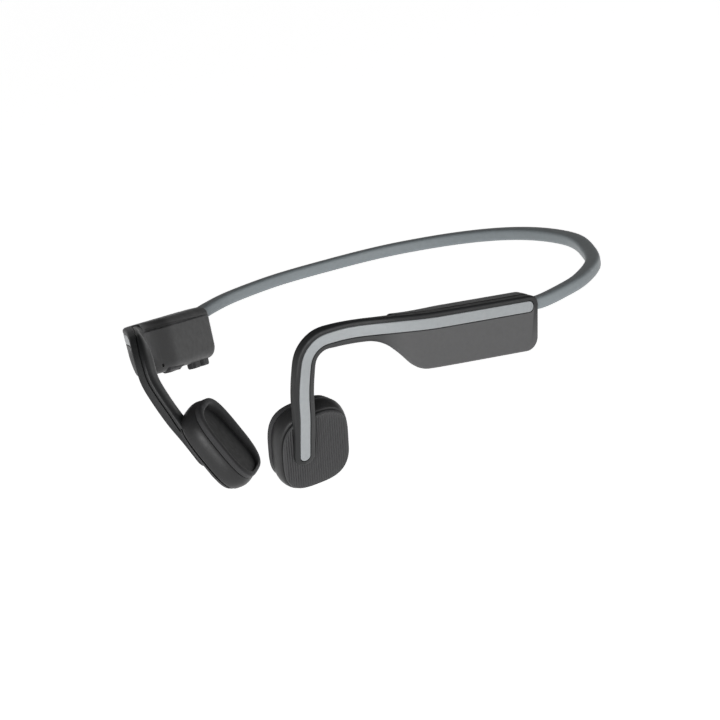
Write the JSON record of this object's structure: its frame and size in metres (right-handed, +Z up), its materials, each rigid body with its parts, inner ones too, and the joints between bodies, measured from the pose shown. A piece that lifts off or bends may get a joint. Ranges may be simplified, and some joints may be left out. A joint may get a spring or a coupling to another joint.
{
  "type": "bone conduction headphones",
  "caption": "Open-ear neckband headphones: pods behind the ears, hooks over them and ribbed transducer cups that rest on the cheekbones.",
  "frame": {"origin": "centre of the overall box, on the mirror plane between the two sides", "axes": "+X to the wearer's left, +Y from the face to the band behind the head, +Z up"},
  "size_m": [0.1262, 0.1276, 0.0434],
  "materials": {
    "band_silicone": "satin moulded silicone, blue-grey",
    "hook_black": "satin black silicone",
    "stripe_grey": "satin, light grey inlay",
    "pod_grey": "matte, fine moulded texture",
    "shell_charcoal": "satin",
    "ribbed_cover": "satin, fine vertical ribs",
    "pad_silicone": "soft-touch silicone",
    "black_silicone": "satin",
    "titanium_wire": "drawn wire",
    "cable_jacket": "satin",
    "coil_copper": "enamelled winding",
    "circuit_board": "solder mask",
    "battery_pouch": "laminated pouch",
    "light_pipe": "polished",
    "plated_steel": "plated"
  },
  "bodies": {
    "band": {"band_sheath": "band_silicone", "band_wire": "titanium_wire", "band_cable": "cable_jacket"},
    "left_side": {"left_ear_hook": "hook_black", "left_hook_wire": "titanium_wire", "left_driver_cable": "cable_jacket", "left_stripe": "stripe_grey", "left_pod_outer_shell": "pod_grey", "left_pod_gasket": "black_silicone", "left_pod_inner_shell": "shell_charcoal", "left_driver_housing": "shell_charcoal", "left_yoke": "plated_steel", "left_magnet": "plated_steel", "left_top_plate": "plated_steel", "left_voice_coil": "coil_copper", "left_leaf_spring": "plated_steel", "left_contact_pad": "pad_silicone", "battery_cell": "battery_pouch", "battery_protection_board": "circuit_board", "multifunction_switch": "plated_steel"},
    "right_side": {"right_ear_hook": "hook_black", "right_hook_wire": "titanium_wire", "right_driver_cable": "cable_jacket", "right_stripe": "stripe_grey", "right_pod_outer_shell": "pod_grey", "right_pod_gasket": "black_silicone", "right_pod_inner_shell": "shell_charcoal", "right_driver_housing": "shell_charcoal", "right_yoke": "plated_steel", "right_magnet": "plated_steel", "right_top_plate": "plated_steel", "right_voice_coil": "coil_copper", "right_leaf_spring": "plated_steel", "right_contact_pad": "pad_silicone", "right_driver_cover": "ribbed_cover", "main_board": "circuit_board", "board_screw_front": "plated_steel", "board_screw_rear": "plated_steel", "bluetooth_module": "plated_steel", "usb_c_socket": "plated_steel", "microphone": "plated_steel", "led_light_pipe": "light_pipe", "volume_up_switch": "plated_steel", "volume_down_switch": "plated_steel"},
    "multifunction_button": {"multifunction_button": "ribbed_cover"},
    "volume_up_button": {"volume_up_button": "black_silicone"},
    "volume_down_button": {"volume_down_button": "black_silicone"},
    "port_cover": {"port_cover": "black_silicone"}
  },
  "joints": [
    {"name": "left_flex", "type": "hinge", "parent": "band", "child": "left_side", "pos_m": [0.04, 0.04681, 0.01414], "axis": [0, 0, 1], "range_deg": [-2.5, 20], "stiffness_Nm_per_rad": 0.12, "deforming": ["band_sheath", "band_wire", "band_cable"]},
    {"name": "right_flex", "type": "hinge", "parent": "band", "child": "right_side", "pos_m": [-0.04, 0.04681, 0.01414], "axis": [0, 0, -1], "range_deg": [-2.5, 20], "stiffness_Nm_per_rad": 0.12, "deforming": ["band_sheath", "band_wire", "band_cable"]},
    {"name": "multifunction_press", "type": "slide", "parent": "left_side", "child": "multifunction_button", "axis": [-0.8082, 0.3769, 0.4524], "range_m": [0, 0.0003]},
    {"name": "volume_up_press", "type": "slide", "parent": "right_side", "child": "volume_up_button", "axis": [-0.122, 0.0958, 0.9879], "range_m": [0, 0.0003]},
    {"name": "volume_down_press", "type": "slide", "parent": "right_side", "child": "volume_down_button", "axis": [-0.122, 0.0958, 0.9879], "range_m": [0, 0.0003]},
    {"name": "port_cover_hinge", "type": "hinge", "parent": "right_side", "child": "port_cover", "pos_m": [-0.04565, -0.03346, 0.00502], "axis": [-0.9474, -0.3078, -0.0872], "range_deg": [0, 100]}
  ]
}
